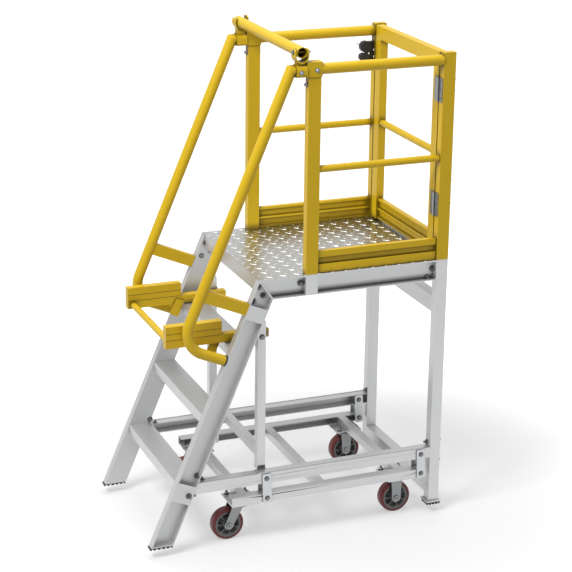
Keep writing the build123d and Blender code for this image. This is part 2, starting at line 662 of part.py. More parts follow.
# Lever: two arms with grip blocks, support lugs and a cross rod
ARM_Y = 38.0
ARM_OUT_Y = FPOST_MID_Y - SQ / 2 - 5.0
ARM_T = 3.0
ARM_REACH = 434.0
ARM_TAIL = 49.0
ARM_FRONT = FPOST_X - ARM_REACH
ARM_BACK = FPOST_X + ARM_TAIL
BLOCK_L = 260.0
BLOCK_H = 63.0
ROD_X = ARM_FRONT + 26.0
ROD_D = 30.0
BLOCK_GROOVE = 1.5
LUG_T = 6.0
LUG_W = 43.0
LUG_UP = 16.0
LUG_DOWN = 67.0
LUG_N = 10 + LUG_W / 2
LUG_S = (STEPS - 1) * RISE / SIN
for side, sg in SIDES:
    outer = ARM_OUT_Y if sg > 0 else -(ARM_OUT_Y - ARM_Y)
    with BuildPart() as arm:
        with BuildSketch(side_plane(outer)):
            with Locations(((ARM_FRONT + ARM_BACK) / 2, up(LEVER_PIN_H))):
                Rectangle(ARM_BACK - ARM_FRONT, ARM_H)
            with Locations((ARM_FRONT + BLOCK_L / 2, up(LEVER_PIN_H + (ARM_H + BLOCK_H) / 2))):
                Rectangle(BLOCK_L, BLOCK_H)
        extrude(amount=ARM_Y)
        hollow = outer - ARM_T
        with BuildSketch(side_plane(hollow)):
            with Locations(((ARM_FRONT + ARM_BACK) / 2, up(LEVER_PIN_H))):
                Rectangle(ARM_BACK - ARM_FRONT - 2 * ARM_T, ARM_H - 2 * ARM_T)
            with Locations((ARM_FRONT + BLOCK_L / 2, up(LEVER_PIN_H + (ARM_H + BLOCK_H) / 2))):
                Rectangle(BLOCK_L - 2 * ARM_T, BLOCK_H - 2 * ARM_T)
        extrude(amount=ARM_Y - 2 * ARM_T, mode=Mode.SUBTRACT)
        pin_y = WEB_Y - SEAT if sg > 0 else -(ARM_OUT_Y - ARM_Y + 2)
        with BuildSketch(side_plane(pin_y)):
            with Locations((FPOST_X, up(LEVER_PIN_H))):
                Circle(LEVER_PIN_D / 2)
        extrude(amount=WEB_Y - SEAT - (ARM_OUT_Y - ARM_Y + 2))
        lug_y = ARM_OUT_Y - ARM_Y if sg > 0 else -(ARM_OUT_Y - ARM_Y) + LUG_T
        with BuildSketch(side_plane(lug_y)):
            lug_mid = along(LUG_S + (LUG_UP - LUG_DOWN) / 2, LUG_N)
            with Locations(Location((lug_mid[0], lug_mid[1], 0), (0, 0, SLOPE))):
                RectangleRounded(LUG_UP + LUG_DOWN, LUG_W, 9)
        extrude(amount=LUG_T)
        groove_hs = (LEVER_PIN_H + ARM_H / 2, LEVER_PIN_H + ARM_H / 2 + BLOCK_H * 0.45)
        for face_y in (outer, outer - ARM_Y + BLOCK_GROOVE / 2):
            with BuildSketch(side_plane(face_y)):
                for groove_h in groove_hs:
                    with Locations((ARM_FRONT + BLOCK_L / 2, up(groove_h))):
                        Rectangle(BLOCK_L, BLOCK_GROOVE)
            extrude(amount=BLOCK_GROOVE / 2, mode=Mode.SUBTRACT)
    save(arm.part, "lever_arm_" + side)

with BuildPart() as rod:
    rod_at = Plane(origin=(ROD_X, -(ARM_OUT_Y - ARM_Y), up(LEVER_PIN_H)), z_dir=(0, 1, 0))
    with BuildSketch(rod_at):
        Circle(ROD_D / 2)
        Circle(ROD_D / 2 - 2.5, mode=Mode.SUBTRACT)
    extrude(amount=2 * (ARM_OUT_Y - ARM_Y))
save(rod.part, "lever_rod")

# Lift links: on each side a plate either face of the rails, joined by two pins
LINK_W = 43.0
LINK_END = 23.5
OUTER_CORNER_R = 3.0
INNER_CORNER_R = 10.0
LINK_T = 5.0
tilt = math.radians(LINK_TILT)
low_dx = PIN_PITCH * math.sin(tilt)
low_dh = PIN_PITCH * math.cos(tilt)
LOW_PIN_H = UP_PIN_H - low_dh
LINK_OUT = HALF_W + SIDE_GAP + LINK_T
LINK_IN = HALF_W - RAIL_W - SIDE_GAP - LINK_T
for name, pin_x in (("front", PIN_XS[0]), ("rear", PIN_XS[1])):
    middle = (pin_x + low_dx / 2, up(UP_PIN_H - low_dh / 2))
    for side, sg in SIDES:
        with BuildPart() as link:
            for y, corner_r in ((LINK_OUT, OUTER_CORNER_R), (LINK_IN + LINK_T, INNER_CORNER_R)):
                with BuildSketch(side_plane(y if sg > 0 else LINK_T - y)):
                    with Locations(Location((middle[0], middle[1], 0), (0, 0, LINK_TILT))):
                        RectangleRounded(LINK_W, PIN_PITCH + 2 * LINK_END, corner_r)
                extrude(amount=LINK_T)
            with BuildSketch(side_plane(LINK_OUT if sg > 0 else -LINK_IN)):
                with Locations((pin_x, up(UP_PIN_H)), (pin_x + low_dx, up(LOW_PIN_H))):
                    Circle(PIN_D / 2)
            extrude(amount=LINK_OUT - LINK_IN)
        save(link.part, name + "_link_" + side)

# Caster frame: inward-opening rails on the lower pins, cross members and plates
WHEEL_Y = HALF_W - 86.4
KING_X = PIN_XS[0] - 98.0
TRAIL = 63.0
RIGID_X = PIN_XS[1] - 93.0
CPLATE_X = 134.0
CPLATE_Y = 151.0
CRAIL_FRONT = KING_X - CPLATE_X / 2
CRAIL_BACK = PIN_XS[1] + 32.0
CRAIL_BOT = LOW_PIN_H - CRAIL_H / 2
CCROSS_W = 40.0
MIDDLE_CROSS = 285.0
CCROSS_XS = (KING_X, PIN_XS[0] + MIDDLE_CROSS, RIGID_X)
with BuildPart() as caster_frame:
    for side, sg in SIDES:
        top_y = HALF_W if sg > 0 else -HALF_W + RAIL_W
        with BuildSketch(side_plane(top_y)):
            with Locations(((CRAIL_FRONT + CRAIL_BACK) / 2, up(LOW_PIN_H))):
                Rectangle(CRAIL_BACK - CRAIL_FRONT, CRAIL_H)
        extrude(amount=RAIL_W)
        pocket_y = HALF_W - RAIL_T if sg > 0 else -HALF_W + RAIL_W
        with BuildSketch(side_plane(pocket_y)):
            with Locations(((CRAIL_FRONT + CRAIL_BACK) / 2, up(LOW_PIN_H))):
                Rectangle(CRAIL_BACK - CRAIL_FRONT + 10, CRAIL_H - 2 * RAIL_T)
        extrude(amount=RAIL_W - RAIL_T, mode=Mode.SUBTRACT)
        with BuildSketch(side_plane(top_y)):
            for pin_x in PIN_XS:
                with Locations((pin_x + low_dx, up(LOW_PIN_H))):
                    Circle(PIN_D / 2 + 4)
        extrude(amount=RAIL_W)
        with BuildSketch(side_plane(top_y)):
            with Locations((PIN_XS[0] + low_dx, up(LOW_PIN_H))):
                Circle(PIN_D / 2 + OPEN_PIN_GAP)
            with Locations((PIN_XS[1] + low_dx, up(LOW_PIN_H))):
                Circle(PIN_D / 2 + PIN_GAP)
        extrude(amount=RAIL_W, mode=Mode.SUBTRACT)
        with BuildSketch(Plane.XY.offset(up(CRAIL_BOT - PLATE_T))):
            plate_y = (HALF_W - CPLATE_Y / 2) * sg
            with Locations((KING_X, plate_y), (RIGID_X, plate_y)):
                Rectangle(CPLATE_X, CPLATE_Y)
        extrude(amount=PLATE_T)
    for mid_x in CCROSS_XS:
        with BuildSketch(side_plane(HALF_W - RAIL_W)):
            with Locations((mid_x, up(LOW_PIN_H))):
                Rectangle(CCROSS_W, CRAIL_H)
                Rectangle(CCROSS_W - 2 * RAIL_T, CRAIL_H - 2 * RAIL_T, mode=Mode.SUBTRACT)
        extrude(amount=2 * (HALF_W - RAIL_W))
save(caster_frame.part, "caster_frame")

# Casters: fork with a bearing housing, wheel core and tyre
AXLE_D = 12.0
FORK_IN = WHEEL_W / 2 + 5
FORK_T = 5.0
FORK_R = 22.0
CROWN_BOT = WHEEL_D - FOOT_GAP + 8
CROWN_T = 8.0
CROWN_R = 41.0
RACE_R = 29.0
LEG_TOP = 55.0
LEG_LEAN = 0.28
CASTERS = (
    ("front_right", KING_X, -WHEEL_Y, TRAIL),
    ("front_left", KING_X, WHEEL_Y, TRAIL),
    ("rear_right", RIGID_X, -WHEEL_Y, 0.0),
    ("rear_left", RIGID_X, WHEEL_Y, 0.0),
)
AXLE_Z = WHEEL_D / 2
for name, mid_x, y, trail in CASTERS:
    axle_x = mid_x - trail
    leg_x = mid_x - trail * LEG_LEAN
    plate_z = up(CRAIL_BOT - PLATE_T) - (SEAT if trail else 0)
    with BuildPart() as fork:
        with BuildSketch(Plane.XY.offset(up(CROWN_BOT))):
            with Locations((mid_x, y)):
                Circle(CROWN_R)
            with Locations((leg_x, y)):
                Rectangle(LEG_TOP, 2 * (FORK_IN + FORK_T))
        extrude(amount=CROWN_T)
        with BuildSketch(Plane.XY.offset(up(CROWN_BOT + CROWN_T))):
            with Locations((mid_x, y)):
                Circle(RACE_R)
        extrude(amount=plate_z - up(CROWN_BOT + CROWN_T))
        for leg_y in (y + FORK_IN + FORK_T, y - FORK_IN):
            with BuildSketch(side_plane(leg_y)):
                with BuildLine():
                    Polyline(
                        (axle_x - FORK_R, AXLE_Z),
                        (axle_x + FORK_R, AXLE_Z),
                        (leg_x + LEG_TOP / 2, up(CROWN_BOT + CROWN_T)),
                        (leg_x - LEG_TOP / 2, up(CROWN_BOT + CROWN_T)),
                        close=True,
                    )
                make_face()
                with Locations((axle_x, AXLE_Z)):
                    Circle(FORK_R)
            extrude(amount=FORK_T)
        with BuildSketch(side_plane(y + FORK_IN + FORK_T + 4)):
            with Locations((axle_x, AXLE_Z)):
                Circle(AXLE_D / 2)
        extrude(amount=2 * (FORK_IN + FORK_T + 4))
    save(fork.part, "fork_" + name)

    with BuildPart() as core:
        with BuildSketch(side_plane(y + WHEEL_W / 2 - 2)):
            with Locations((axle_x, AXLE_Z)):
                Circle(WHEEL_D / 2 - 14)
                Circle(WHEEL_D / 2 - 20, mode=Mode.SUBTRACT)
                Circle(20)
        extrude(amount=WHEEL_W - 4)
        with BuildSketch(side_plane(y + 5)):
            with Locations((axle_x, AXLE_Z)):
                Circle(WHEEL_D / 2 - 17)
        extrude(amount=10)
        with BuildSketch(side_plane(y + WHEEL_W / 2 + 2)):
            with Locations((axle_x, AXLE_Z)):
                Circle(14)
        extrude(amount=WHEEL_W + 4)
        with BuildSketch(side_plane(y + WHEEL_W)):
            with Locations((axle_x, AXLE_Z)):
                Circle(AXLE_D / 2 + PIN_GAP)
        extrude(amount=2 * WHEEL_W, mode=Mode.SUBTRACT)
    save(core.part, "wheel_core_" + name)

    with BuildPart() as tyre:
        with BuildSketch(side_plane(y + WHEEL_W / 2)):
            with Locations((axle_x, AXLE_Z)):
                Circle(WHEEL_D / 2)
                Circle(WHEEL_D / 2 - 14, mode=Mode.SUBTRACT)
        extrude(amount=WHEEL_W)
        chamfer(tyre.edges().filter_by(GeomType.CIRCLE).group_by(SortBy.RADIUS)[-1], 4)
    save(tyre.part, "wheel_tyre_" + name)
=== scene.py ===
import json
import math

import bpy
import numpy as np
from mathutils import Matrix, Vector


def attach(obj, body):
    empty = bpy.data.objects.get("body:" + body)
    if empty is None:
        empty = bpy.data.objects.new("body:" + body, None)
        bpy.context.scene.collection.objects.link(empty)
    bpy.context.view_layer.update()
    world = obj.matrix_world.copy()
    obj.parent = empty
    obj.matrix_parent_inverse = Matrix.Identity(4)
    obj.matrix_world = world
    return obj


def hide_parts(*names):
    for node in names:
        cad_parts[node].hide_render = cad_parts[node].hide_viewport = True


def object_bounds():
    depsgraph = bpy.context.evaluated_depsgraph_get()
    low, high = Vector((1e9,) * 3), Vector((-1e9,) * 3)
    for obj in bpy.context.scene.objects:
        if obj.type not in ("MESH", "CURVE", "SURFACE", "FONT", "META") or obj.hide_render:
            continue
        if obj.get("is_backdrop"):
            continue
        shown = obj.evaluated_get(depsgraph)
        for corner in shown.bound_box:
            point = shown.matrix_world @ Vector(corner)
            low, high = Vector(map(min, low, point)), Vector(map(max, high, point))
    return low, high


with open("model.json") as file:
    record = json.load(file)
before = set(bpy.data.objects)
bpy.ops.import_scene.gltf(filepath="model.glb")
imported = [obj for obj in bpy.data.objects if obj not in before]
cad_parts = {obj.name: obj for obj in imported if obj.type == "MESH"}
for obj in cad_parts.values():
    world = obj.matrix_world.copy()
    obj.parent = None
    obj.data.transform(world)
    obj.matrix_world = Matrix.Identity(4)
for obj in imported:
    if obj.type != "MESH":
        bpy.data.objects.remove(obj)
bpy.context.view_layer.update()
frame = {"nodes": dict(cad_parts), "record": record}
nodes = frame["nodes"]

# Places are given in millimetres as (x, y, h): x forward (-) of the rear legs' back
# face, y to the left (+) of a climber, h above the underside of the feet.
REAR_X = 708.5
FOOT_GAP = 40.0
DECK_H = 1219.2
DECK_L = 914.0
HALF_W = 383.0
WEB_Y = 343.0
LADDER_RUN, LADDER_FOOT_X = 515.0, -1429.0
SLOPE = math.atan2(DECK_H, LADDER_RUN)
UP_SLOPE = np.array([math.cos(SLOPE), 0.0, math.sin(SLOPE)])
OUT_SLOPE = np.array([-math.sin(SLOPE), 0.0, math.cos(SLOPE)])
X = np.array([1.0, 0.0, 0.0])
Y = np.array([0.0, 1.0, 0.0])
Z = np.array([0.0, 0.0, 1.0])


def place(x, y, h):
    """Scene coordinates in metres of a place given as (x, y, h)."""
    return np.array([x + REAR_X, y, h + FOOT_GAP]) / 1000.0


def on_stile(s, n, y):
    """Place s mm up the stile's front edge and n mm out from it."""
    foot = place(LADDER_FOOT_X, y, 0.0)
    return foot + (s * UP_SLOPE + n * OUT_SLOPE) / 1000.0


# Surfaces


def grid_faces(rows, cols, wrap_cols=False):
    """Quads of a rows by cols grid of points, as index rows; wrapped, its last column joins its first."""
    r = np.arange(rows - 1)
    c = np.arange(cols if wrap_cols else cols - 1)
    a, b = np.meshgrid(r, c, indexing="ij")
    a2, b2 = a + 1, (b + 1) % cols
    return np.stack([a * cols + b, a2 * cols + b, a2 * cols + b2, a * cols + b2], -1).reshape(-1, 4)


def basis(axis):
    """Two unit vectors square to the axis and the axis as a unit vector, as a right-handed set."""
    axis = np.asarray(axis, float) / np.linalg.norm(axis)
    side = np.cross(Z if abs(axis[2]) < 0.9 else X, axis)
    side /= np.linalg.norm(side)
    return side, np.cross(axis, side), axis


def lathe(profile, centre, axis, steps=32, corners=0, twist=0.0):
    """A profile of (radius, height) turned about an axis: point = centre + r cos(a) side + r sin(a) up
    + h axis. With corners n, r is the radius to a flat and grows by 1 / cos of the angle from it, which
    gives an n-gon."""
    profile = np.asarray(profile, float)
    side, up, axis = basis(axis)
    a = np.arange(steps) * 2 * math.pi / steps
    grow = np.ones_like(a)
    if corners:
        sector = 2 * math.pi / corners
        grow = 1.0 / np.cos((a + sector / 2) % sector - sector / 2)
    r = profile[:, 0][:, None] * grow[None, :]
    h = profile[:, 1][:, None, None]
    a = a + twist
    ring = np.cos(a)[None, :, None] * side + np.sin(a)[None, :, None] * up
    points = np.asarray(centre) + r[..., None] * ring + h * axis
    faces = grid_faces(len(profile), steps, wrap_cols=True)
    return points.reshape(-1, 3), faces[:, ::-1]


def soft_box(low, high, radius):
    """A box with rounded edges: point = corner centre of its octant + radius times the direction (u, v).
    Each quarter turn ends on a flat, so the long quads between the corners are the flat faces."""
    low, high = np.asarray(low, float), np.asarray(high, float)
    quarter = np.linspace(0.0, math.pi / 2, 4)
    v = np.concatenate([quarter - math.pi / 2, quarter])
    u = np.concatenate([quarter + k * math.pi / 2 for k in range(4)])
    sv = np.repeat([-1.0, 1.0], 4)
    su_x = np.repeat([1.0, -1.0, -1.0, 1.0], 4)
    su_y = np.repeat([1.0, 1.0, -1.0, -1.0], 4)
    vv, uu = np.meshgrid(v, u, indexing="ij")
    direction = np.stack([np.cos(vv) * np.cos(uu), np.cos(vv) * np.sin(uu), np.sin(vv)], -1)
    signs = (su_x, su_y, sv[:, None])
    octant = np.stack([np.broadcast_to(sign, vv.shape) for sign in signs], -1)
    half = (high - low) / 2 - radius
    points = (low + high) / 2 + octant * half + radius * direction
    faces = grid_faces(len(v), len(u), wrap_cols=True)
    return points.reshape(-1, 3), faces[:, ::-1]


def carried(section, path):
    """A closed section of (a, b) points carried along a path: point = path + a side + b up, where side and
    up follow the path with the least turn. Its ends stay open."""
    path, section = np.asarray(path, float), np.asarray(section, float)
    along = np.gradient(path, axis=0)
    along /= np.linalg.norm(along, axis=1)[:, None]
    side = np.zeros_like(path)
    side[0] = basis(along[0])[0]
    for k in range(1, len(path)):
        s = side[k - 1] - along[k] * (side[k - 1] @ along[k])
        side[k] = s / np.linalg.norm(s)
    up = np.cross(along, side)
    across, over = section[None, :, 0, None], section[None, :, 1, None]
    points = path[:, None, :] + across * side[:, None, :] + over * up[:, None, :]
    faces = grid_faces(len(path), len(section), wrap_cols=True)[:, ::-1]
    return points.reshape(-1, 3), faces


def round_section(radius, steps=12):
    """A circle of that radius as section points."""
    a = np.arange(steps) * 2 * math.pi / steps
    return np.stack([radius * np.cos(a), radius * np.sin(a)], -1)


def piece(name, parts, body, material, smooth=35.0):
    """One mesh object at the origin made of (points, faces) parts, riding on a body, smooth under an angle
    in degrees."""
    offset = 0
    all_points, all_faces = [], []
    for points, faces in parts:
        all_points.append(points)
        all_faces.append(faces + offset)
        offset += len(points)
    points, faces = np.concatenate(all_points), np.concatenate(all_faces)
    mesh = bpy.data.meshes.new(name)
    mesh.vertices.add(len(points))
    mesh.vertices.foreach_set("co", points.astype(np.float32).ravel())
    mesh.loops.add(faces.size)
    mesh.loops.foreach_set("vertex_index", faces.astype(np.int32).ravel())
    mesh.polygons.add(len(faces))
    mesh.polygons.foreach_set("loop_start", np.arange(0, faces.size, 4, dtype=np.int32))
    mesh.update(calc_edges=True)
    mesh.validate()
    mesh.materials.append(material)
    thing = bpy.data.objects.new(name, mesh)
    bpy.context.scene.collection.objects.link(thing)
    soften(thing, smooth)
    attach(thing, body)
    return thing


# Corners closer than this many metres are joined
WELD_GAP = 0.00001


def shade_tree():
    """Geometry nodes that join touching corners and shade smooth wherever the fold is under the angle."""
    tree = bpy.data.node_groups.new("smooth_under_angle", "GeometryNodeTree")
    tree.interface.new_socket("Geometry", in_out="INPUT", socket_type="NodeSocketGeometry")
    angle = tree.interface.new_socket("Angle", in_out="INPUT", socket_type="NodeSocketFloat")
    angle.default_value = 0.6
    tree.interface.new_socket("Geometry", in_out="OUTPUT", socket_type="NodeSocketGeometry")
    n, link = tree.nodes, tree.links
    source, out = n.new("NodeGroupInput"), n.new("NodeGroupOutput")
    join = n.new("GeometryNodeMergeByDistance")
    join.inputs["Distance"].default_value = WELD_GAP
    fold = n.new("GeometryNodeInputMeshEdgeAngle")
    sharp = n.new("FunctionNodeCompare")
    sharp.operation = "GREATER_THAN"
    mark = n.new("GeometryNodeStoreNamedAttribute")
    mark.data_type = "BOOLEAN"
    mark.domain = "EDGE"
    mark.inputs["Name"].default_value = "sharp_edge"
    shade = n.new("GeometryNodeSetShadeSmooth")
    link.new(source.outputs["Geometry"], join.inputs["Geometry"])
    link.new(join.outputs["Geometry"], shade.inputs["Geometry"])
    link.new(shade.outputs["Geometry"], mark.inputs["Geometry"])
    link.new(fold.outputs["Unsigned Angle"], sharp.inputs["A"])
    link.new(source.outputs["Angle"], sharp.inputs["B"])
    link.new(sharp.outputs["Result"], mark.inputs["Value"])
    link.new(mark.outputs["Geometry"], out.inputs["Geometry"])
    return tree


SMOOTH_TREE = shade_tree()


def round_edges(thing, width, degrees=40.0):
    """Rounds every fold of a CAD node sharper than the angle by that width in metres."""
    bevel = thing.modifiers.new("rounded_edges", "BEVEL")
    bevel.width = width
    bevel.segments = 2
    bevel.limit_method = "ANGLE"
    bevel.angle_limit = math.radians(degrees)
    bevel.use_clamp_overlap = True
    bevel.harden_normals = True


def soften(thing, degrees):
    """Welds loose triangles and adds the smooth-shading modifier with its angle in degrees."""
    weld = thing.modifiers.new("weld", "WELD")
    weld.merge_threshold = WELD_GAP
    modifier = thing.modifiers.new("smooth_under_angle", "NODES")
    modifier.node_group = SMOOTH_TREE
    modifier["Socket_1"] = math.radians(degrees)


# Materials


def group(name, inputs, outputs):
    """An empty shader node group with named inputs (name, kind, default) and outputs (name, kind)."""
    tree = bpy.data.node_groups.new(name, "ShaderNodeTree")
    for label, kind, value in inputs:
        socket = tree.interface.new_socket(label, in_out="INPUT", socket_type="NodeSocket" + kind)
        socket.default_value = value
    for label, kind in outputs:
        tree.interface.new_socket(label, in_out="OUTPUT", socket_type="NodeSocket" + kind)
    return tree, tree.nodes.new("NodeGroupInput"), tree.nodes.new("NodeGroupOutput")


def fill(tree, node, inputs):
    """The node with each (name, value) input set; a value is a number, a vector or a socket to link."""
    for name, value in inputs:
        if isinstance(value, bpy.types.NodeSocket):
            tree.links.new(value, node.inputs[name])
        else:
            node.inputs[name].default_value = value
    return node


def grouped(tree, shared, inputs):
    """A node that uses the shared group, with its inputs filled."""
    node = tree.nodes.new("ShaderNodeGroup")
    node.node_tree = shared
    return fill(tree, node, inputs)


def math_of(tree, operation, *inputs):
    """The result of a math node on numbers or sockets."""
    node = tree.nodes.new("ShaderNodeMath")
    node.operation = operation
    return fill(tree, node, enumerate(inputs)).outputs[0]


def product(tree, first, second):
    """Two vectors or colours multiplied part by part."""
    node = tree.nodes.new("ShaderNodeVectorMath")
    node.operation = "MULTIPLY"
    return fill(tree, node, enumerate((first, second))).outputs["Vector"]


def ramp(tree, value, from_min, from_max, to_min=0.0, to_max=1.0, smooth=False):
    """The value carried from the first range to the second, eased at both ends when smooth."""
    node = tree.nodes.new("ShaderNodeMapRange")
    if smooth:
        node.interpolation_type = "SMOOTHSTEP"
    ends = (("From Min", from_min), ("From Max", from_max), ("To Min", to_min), ("To Max", to_max))
    return fill(tree, node, (("Value", value), *ends)).outputs["Result"]


def noise(tree, where, scale, detail):
    """Soft noise from 0 to 1 at a place."""
    node = tree.nodes.new("ShaderNodeTexNoise")
    return fill(tree, node, (("Vector", where), ("Scale", scale), ("Detail", detail))).outputs["Fac"]


def object_place(tree):
    """The object coordinates."""
    return tree.nodes.new("ShaderNodeTexCoord").outputs["Object"]


def drawn_grain():
    """Fine lines left by the extrusion die, as noise drawn out along the axis of least stretch, and a soft
    mottle."""
    inputs = [
        ("Stretch", "Vector", (1.0, 1.0, 1.0)),
        ("Tone", "Float", 0.06),
        ("Rough low", "Float", 0.25),
        ("Rough high", "Float", 0.4),
    ]
    outputs = [("Tone", "Float"), ("Roughness", "Float"), ("Height", "Float")]
    tree, source, out = group("drawn_grain", inputs, outputs)
    where, given = object_place(tree), source.outputs
    lines = noise(tree, product(tree, where, given["Stretch"]), 1.0, 4.0)
    mottle = noise(tree, where, 7.0, 3.0)
    centred = math_of(tree, "SUBTRACT", math_of(tree, "ADD", lines, mottle), 1.0)
    tone = math_of(tree, "MULTIPLY_ADD", centred, given["Tone"], 1.0)
    rough = ramp(tree, lines, 0.3, 0.7, given["Rough low"], given["Rough high"])
    fill(tree, out, (("Tone", tone), ("Roughness", rough), ("Height", lines)))
    return tree


def paint_skin():
    """Sprayed enamel: a broad tone drift and a fine orange-peel height."""
    inputs = [("Drift", "Float", 0.05), ("Peel scale", "Float", 260.0)]
    tree, source, out = group("paint_skin", inputs, [("Tone", "Float"), ("Height", "Float")])
    where, given = object_place(tree), source.outputs
    centred = math_of(tree, "SUBTRACT", noise(tree, where, 3.5, 2.0), 0.5)
    tone = math_of(tree, "MULTIPLY_ADD", centred, given["Drift"], 1.0)
    fill(tree, out, (("Tone", tone), ("Height", noise(tree, where, given["Peel scale"], 1.0))))
    return tree


# The open share of the sky in a closed corner and on an open face
CLOSED, OPEN = 0.58, 0.98


def crevice_shade():
    """One in the open, down to the floor value inside grooves and corners narrower than the reach."""
    inputs = [("Reach", "Float", 0.03), ("Floor", "Float", 0.5)]
    tree, source, out = group("crevice_shade", inputs, [("Mask", "Float")])
    around = tree.nodes.new("ShaderNodeAmbientOcclusion")
    around.samples = 12
    fill(tree, around, (("Distance", source.outputs["Reach"]),))
    fall = ramp(tree, around.outputs["AO"], CLOSED, OPEN, source.outputs["Floor"], smooth=True)
    fill(tree, out, (("Mask", fall),))
    return tree


def painted_shade_band():
    """Painted shade: the tone times a value that falls smoothly to the floor value below a height, standing
    in for the shade on a section's downward curve, but not further out along Y than the side."""
    inputs = [
        ("Tone", "Float", 1.0),
        ("Low", "Float", 0.0),
        ("High", "Float", 0.1),
        ("Floor", "Float", 0.5),
        ("Side", "Float", 1.0),
    ]
    tree, source, out = group("painted_shade_band", inputs, [("Tone", "Float")])
    given = source.outputs
    split = fill(tree, tree.nodes.new("ShaderNodeSeparateXYZ"), ((0, object_place(tree)),)).outputs
    fall = ramp(tree, split["Z"], given["Low"], given["High"], given["Floor"], smooth=True)
    outside = math_of(tree, "GREATER_THAN", math_of(tree, "ABSOLUTE", split["Y"]), given["Side"])
    kept = math_of(tree, "MAXIMUM", fall, outside)
    fill(tree, out, (("Tone", math_of(tree, "MULTIPLY", kept, given["Tone"])),))
    return tree


GRAIN, SKIN, CREVICE, SHADE_BAND = drawn_grain(), paint_skin(), crevice_shade(), painted_shade_band()


def toned(tree, colour, tone, reach, floor):
    """The colour times a tone value and the crevice shade."""
    shade = grouped(tree, CREVICE, (("Reach", reach), ("Floor", floor))).outputs["Mask"]
    return product(tree, product(tree, colour, tone), shade)


def bumped(tree, height, strength, distance):
    """The normal of a bump node on a height."""
    node = tree.nodes.new("ShaderNodeBump")
    inputs = (("Strength", strength), ("Distance", distance), ("Height", height))
    return fill(tree, node, inputs).outputs["Normal"]


def new_material(name):
    """A material with its node tree and shader."""
    made = bpy.data.materials.new(name)
    made.use_nodes = True
    return made, made.node_tree, made.node_tree.nodes["Principled BSDF"]


def metal(
    name, colour, stretch, rough, tone=0.06, metallic=1.0, bump=0.15, reach=0.010, floor=0.72, band=None
):
    """A drawn or machined metal: grain lines run along the axis with the least stretch. A band (low, high,
    floor, side) of painted shade darkens the colour to the floor value below the low height, not above the
    high one."""
    made, tree, shader = new_material(name)
    low, high = rough
    inputs = (("Stretch", stretch), ("Tone", tone), ("Rough low", low), ("Rough high", high))
    grain = grouped(tree, GRAIN, inputs).outputs
    tone_of = grain["Tone"]
    if band:
        shade_banded = grouped(tree, SHADE_BAND, (("Tone", tone_of), *zip(("Low", "High", "Floor", "Side"), band)))
        tone_of = shade_banded.outputs["Tone"]
    looks = (
        ("Metallic", metallic),
        ("Base Color", toned(tree, colour, tone_of, reach, floor)),
        ("Roughness", grain["Roughness"]),
        ("Normal", bumped(tree, grain["Height"], bump, 0.0003)),
    )
    fill(tree, shader, looks)
    return made


def enamel(name, colour, rough, peel=260.0, drift=0.05, bump=0.12, specular=0.5, reach=0.03, floor=0.5):
    """Paint, rubber or moulded plastic with a soft tone drift and a fine skin."""
    made, tree, shader = new_material(name)
    skin = grouped(tree, SKIN, (("Drift", drift), ("Peel scale", peel))).outputs
    looks = (
        ("Roughness", rough),
        ("Specular IOR Level", specular),
        ("Base Color", toned(tree, colour, skin["Tone"], reach, floor)),
        ("Normal", bumped(tree, skin["Height"], bump, 0.0004)),
    )
    fill(tree, shader, looks)
    return made


ALUMINIUM = (0.59, 0.595, 0.60)
FINE, LONG = 700.0, 4.0
DRAWN = {"rough": (0.32, 0.48), "metallic": 0.72}
along_x = metal("aluminium_drawn_along_x", ALUMINIUM, (LONG, FINE, FINE), **DRAWN)
along_y = metal("aluminium_drawn_along_y", ALUMINIUM, (FINE, LONG, FINE), **DRAWN)
along_z = metal("aluminium_drawn_along_z", ALUMINIUM, (FINE, FINE, LONG), **DRAWN)
stile_z = metal(
    "aluminium_drawn_along_stiles", ALUMINIUM, (FINE, FINE, LONG), (0.40, 0.54), metallic=0.6, floor=1.0
)
# Painted shade on the lower curve of the deck beams: low and high ends in z, tone, and the y beyond which
# it stops
BEAM_LOW = place(0, 0, DECK_H - 92.0)[2]
BEAM_SHADE_BAND = (BEAM_LOW, BEAM_LOW + 0.030, 0.36, 0.365)
beam_shaded_along_x = metal("aluminium_beam_painted_shade", ALUMINIUM, (LONG, FINE, FINE), **DRAWN, band=BEAM_SHADE_BAND)
plate_metal = metal(
    "tread_plate_aluminium", (0.54, 0.55, 0.55), (90.0, 90.0, 90.0), (0.24, 0.38), tone=0.08, bump=0.25
)
zinc = metal("zinc_plated_steel", (0.34, 0.35, 0.36), (160.0, 160.0, 160.0), (0.34, 0.50), tone=0.12)
# The tread bars are the plate's aluminium, lighter than the plate as a painted highlight; the latch screws
# share this metal
bar_highlight_and_screw_metal = metal("tread_bar_highlight_and_screw_aluminium", (0.74, 0.745, 0.74), (90.0, 90.0, 90.0), (0.16, 0.28), tone=0.08)
clamp_zinc = metal("clamp_bolt_zinc", (0.30, 0.31, 0.33), (200.0, 200.0, 200.0), (0.25, 0.42), tone=0.12)
dark_zinc = metal("bolt_steel", (0.17, 0.173, 0.178), (200.0, 200.0, 200.0), (0.25, 0.42), tone=0.15)
link_steel = metal("link_plate_steel", (0.50, 0.51, 0.52), (600.0, 600.0, 5.0), (0.26, 0.42))
fork_steel = metal("fork_pressed_steel", (0.24, 0.245, 0.25), (120.0, 120.0, 120.0), (0.3, 0.5), tone=0.12)
yellow = enamel("yellow_enamel", (0.745, 0.49, 0.014), 0.38, specular=0.3, reach=0.045, floor=0.30)
groove_shade_olive = enamel("groove_shadow_olive", (0.16, 0.10, 0.008), 0.6)
rubber = enamel("black_foot_rubber", (0.018, 0.018, 0.018), 0.75, peel=420.0, drift=0.3, bump=0.5)
latch_black = enamel("satin_black_latch", (0.010, 0.010, 0.010), 0.45, peel=600.0, drift=0.2)
band_grey = enamel("dark_band_grey", (0.085, 0.09, 0.088), 0.5, peel=500.0)
